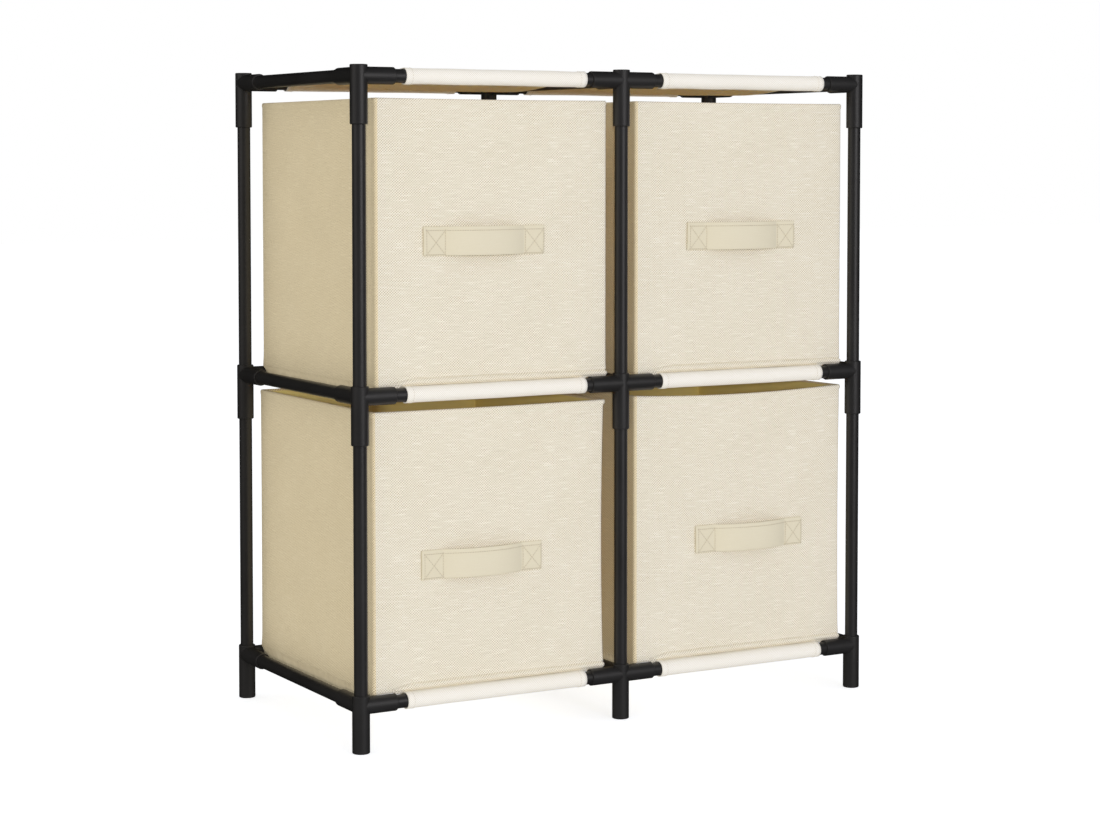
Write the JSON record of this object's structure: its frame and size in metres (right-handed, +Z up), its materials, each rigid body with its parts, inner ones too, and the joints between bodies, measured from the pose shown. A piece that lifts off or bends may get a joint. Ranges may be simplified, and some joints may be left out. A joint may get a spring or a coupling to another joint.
{
  "type": "fabric drawer dresser",
  "caption": "Free-standing tube-frame dresser with sleeve-hung fabric shelves and pull-out open-top fabric bins that have sewn strap handles.",
  "frame": {"origin": "on the floor, midway between the six legs", "axes": "+Z up, the fronts of the bins face -Y, +X to the right as seen from the front"},
  "size_m": [0.63, 0.311, 0.6904],
  "materials": {
    "connector_plastic": "satin black moulding",
    "frame_steel": "black powder coat",
    "shelf_fabric": "pale woven fabric",
    "bin_fabric": "cream linen-look twill",
    "handle_webbing": "cream folded strap",
    "board": "grey-brown fibreboard",
    "base_board": "fabric-covered board"
  },
  "bodies": {
    "frame": {"bottom_connector_front_left": "connector_plastic", "bottom_connector_front_centre": "connector_plastic", "bottom_connector_front_right": "connector_plastic", "bottom_connector_back_left": "connector_plastic", "bottom_connector_back_centre": "connector_plastic", "bottom_connector_back_right": "connector_plastic", "middle_connector_front_left": "connector_plastic", "middle_connector_front_centre": "connector_plastic", "middle_connector_front_right": "connector_plastic", "middle_connector_back_left": "connector_plastic", "middle_connector_back_centre": "connector_plastic", "middle_connector_back_right": "connector_plastic", "top_connector_front_left": "connector_plastic", "top_connector_front_centre": "connector_plastic", "top_connector_front_right": "connector_plastic", "top_connector_back_left": "connector_plastic", "top_connector_back_centre": "connector_plastic", "top_connector_back_right": "connector_plastic", "lower_upright_front_left": "frame_steel", "lower_upright_front_centre": "frame_steel", "lower_upright_front_right": "frame_steel", "lower_upright_back_left": "frame_steel", "lower_upright_back_centre": "frame_steel", "lower_upright_back_right": "frame_steel", "upper_upright_front_left": "frame_steel", "upper_upright_front_centre": "frame_steel", "upper_upright_front_right": "frame_steel", "upper_upright_back_left": "frame_steel", "upper_upright_back_centre": "frame_steel", "upper_upright_back_right": "frame_steel", "bottom_cross_rails": "frame_steel", "bottom_side_rails": "frame_steel", "middle_cross_rails": "frame_steel", "middle_side_rails": "frame_steel", "top_cross_rails": "frame_steel", "top_side_rails": "frame_steel", "bottom_shelf_panel_left": "shelf_fabric", "bottom_shelf_panel_right": "shelf_fabric", "middle_shelf_panel_left": "shelf_fabric", "middle_shelf_panel_right": "shelf_fabric", "top_shelf_panel_left": "shelf_fabric", "top_shelf_panel_right": "shelf_fabric"},
    "upper_left_bin": {"upper_left_bin_fabric": "bin_fabric", "upper_left_bin_wall_boards": "board", "upper_left_bin_base_board": "base_board", "upper_left_bin_handle": "handle_webbing"},
    "upper_right_bin": {"upper_right_bin_fabric": "bin_fabric", "upper_right_bin_wall_boards": "board", "upper_right_bin_base_board": "base_board", "upper_right_bin_handle": "handle_webbing"},
    "lower_left_bin": {"lower_left_bin_fabric": "bin_fabric", "lower_left_bin_wall_boards": "board", "lower_left_bin_base_board": "base_board", "lower_left_bin_handle": "handle_webbing"},
    "lower_right_bin": {"lower_right_bin_fabric": "bin_fabric", "lower_right_bin_wall_boards": "board", "lower_right_bin_base_board": "base_board", "lower_right_bin_handle": "handle_webbing"}
  },
  "joints": [
    {"name": "upper_left_bin_slide", "type": "slide", "parent": "frame", "child": "upper_left_bin", "axis": [0, -1, 0], "range_m": [0, 0.24]},
    {"name": "upper_right_bin_slide", "type": "slide", "parent": "frame", "child": "upper_right_bin", "axis": [0, -1, 0], "range_m": [0, 0.24]},
    {"name": "lower_left_bin_slide", "type": "slide", "parent": "frame", "child": "lower_left_bin", "axis": [0, -1, 0], "range_m": [0, 0.24]},
    {"name": "lower_right_bin_slide", "type": "slide", "parent": "frame", "child": "lower_right_bin", "axis": [0, -1, 0], "range_m": [0, 0.24]}
  ]
}
